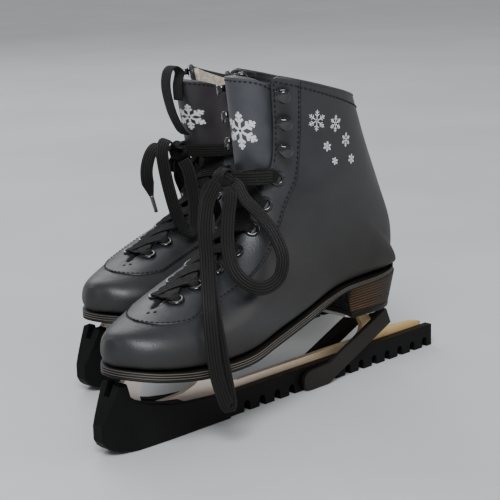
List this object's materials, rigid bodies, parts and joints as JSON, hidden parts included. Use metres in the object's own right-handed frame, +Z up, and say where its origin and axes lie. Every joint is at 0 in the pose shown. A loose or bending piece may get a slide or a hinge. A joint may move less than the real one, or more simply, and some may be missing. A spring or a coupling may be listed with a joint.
{
  "type": "pair of figure skates",
  "caption": "Laced high figure skate boots on one-piece blades with toe picks, each standing in a clip-on blade guard.",
  "frame": {"origin": "bottom centre of the pair's box, measured without the free laces, on the floor under the guards", "axes": "+X from toes to heels along the left skate, +Y from the left skate to the right one, +Z up"},
  "size_m": [0.37, 0.2046, 0.2127],
  "materials": {
    "leather": "smooth coated leather, near black, soft sheen",
    "fleece": "cream pile lining",
    "sole": "black polymer with ribbed edge",
    "heel": "stacked leatherboard, dark brown",
    "steel": "satin steel",
    "guard": "matte charcoal plastic",
    "hook": "glossy black enamel",
    "lace": "woven flat polyester"
  },
  "bodies": {
    "left_skate": {"left_blade": "steel", "left_eyestay_inner": "leather", "left_eyestay_outer": "leather", "left_guard_front": "guard", "left_heel_plate": "steel", "left_heel_stack": "heel", "left_heel_top_lift": "sole", "left_hook_inner_1": "hook", "left_hook_inner_2": "hook", "left_hook_inner_3": "hook", "left_hook_outer_1": "hook", "left_hook_outer_2": "hook", "left_hook_outer_3": "hook", "left_insole": "fleece", "left_lace_end_a": "lace", "left_lace_end_b": "lace", "left_lace_laced": "lace", "left_lace_loop_a": "lace", "left_lace_loop_b": "lace", "left_lining": "fleece", "left_outsole": "sole", "left_quarter_inner": "leather", "left_quarter_outer": "leather", "left_sole_plate": "steel", "left_toe_box": "leather", "left_tongue": "leather"},
    "left_guard_rear_half": {"left_guard_rear": "guard"},
    "left_guard_strap": {"left_guard_strap": "guard"},
    "left_tongue_top": {"left_tongue_upper": "leather"},
    "right_skate": {"right_blade": "steel", "right_eyestay_inner": "leather", "right_eyestay_outer": "leather", "right_guard_front": "guard", "right_heel_plate": "steel", "right_heel_stack": "heel", "right_heel_top_lift": "sole", "right_hook_inner_1": "hook", "right_hook_inner_2": "hook", "right_hook_inner_3": "hook", "right_hook_outer_1": "hook", "right_hook_outer_2": "hook", "right_hook_outer_3": "hook", "right_insole": "fleece", "right_lace_end_a": "lace", "right_lace_end_b": "lace", "right_lace_laced": "lace", "right_lace_loop_a": "lace", "right_lace_loop_b": "lace", "right_lining": "fleece", "right_outsole": "sole", "right_quarter_inner": "leather", "right_quarter_outer": "leather", "right_sole_plate": "steel", "right_toe_box": "leather", "right_tongue": "leather"},
    "right_guard_rear_half": {"right_guard_rear": "guard"},
    "right_guard_strap": {"right_guard_strap": "guard"},
    "right_tongue_top": {"right_tongue_upper": "leather", "right_pull_loop": "lace"}
  },
  "joints": [
    {"name": "left_guard_length", "type": "slide", "parent": "left_skate", "child": "left_guard_rear_half", "axis": [1, 0, 0], "range_m": [0, 0.0276]},
    {"name": "left_guard_strap_swing", "type": "hinge", "parent": "left_guard_rear_half", "child": "left_guard_strap", "pos_m": [-0.01454, -0.05194, 0.007], "axis": [0, 1, 0], "range_deg": [-1.5, 2.5], "stiffness_Nm_per_rad": 0.4},
    {"name": "left_tongue_lean", "type": "hinge", "parent": "left_skate", "child": "left_tongue_top", "pos_m": [-0.06254, -0.05194, 0.1575], "axis": [0, -1, 0], "range_deg": [0, 20], "stiffness_Nm_per_rad": 0.15},
    {"name": "right_guard_length", "type": "slide", "parent": "right_skate", "child": "right_guard_rear_half", "axis": [0.999, 0.0436, 0], "range_m": [0, 0.0276]},
    {"name": "right_guard_strap_swing", "type": "hinge", "parent": "right_guard_rear_half", "child": "right_guard_strap", "pos_m": [0.0528, 0.05589, 0.007], "axis": [-0.0436, 0.999, 0], "range_deg": [-1.5, 2.5], "stiffness_Nm_per_rad": 0.4},
    {"name": "right_tongue_lean", "type": "hinge", "parent": "right_skate", "child": "right_tongue_top", "pos_m": [-0.00714, 0.05327, 0.152], "axis": [0.0436, -0.999, 0], "range_deg": [0, 20], "stiffness_Nm_per_rad": 0.15},
    {"name": "right_skate_apart", "type": "slide", "parent": "left_skate", "child": "right_skate", "axis": [0, 1, 0], "range_m": [0, 0.15]}
  ]
}
